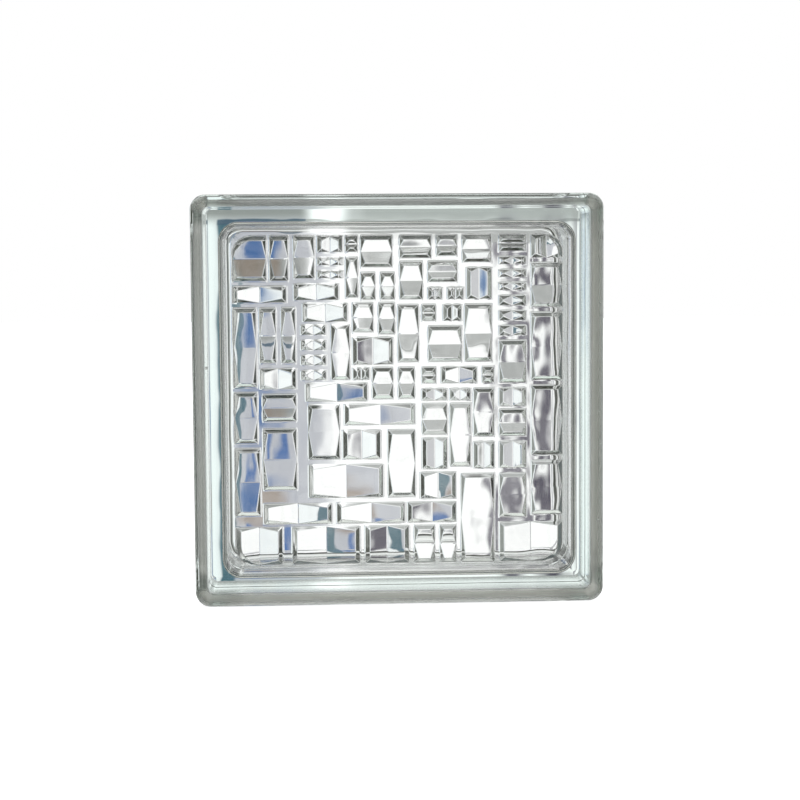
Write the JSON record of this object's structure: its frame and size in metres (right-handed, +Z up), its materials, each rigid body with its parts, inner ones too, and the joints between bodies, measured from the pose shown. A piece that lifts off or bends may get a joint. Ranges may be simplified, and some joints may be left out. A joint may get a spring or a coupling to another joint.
{
  "type": "glass block",
  "caption": "Square hollow block of clear pressed glass for building walls, with a mosaic relief inside the front face and a mortar key round its sides.",
  "frame": {"origin": "middle of the block's foot, on the level of the bed joint", "axes": "+Z up the wall, +Y through the wall from the front face to the back face, +X to the right seen from the front"},
  "size_m": [0.19, 0.08, 0.19],
  "materials": {
    "clear_glass": "clear pressed soda-lime glass, fire-polished faces"
  },
  "bodies": {
    "root": {"glass_block": "clear_glass"}
  },
  "joints": []
}
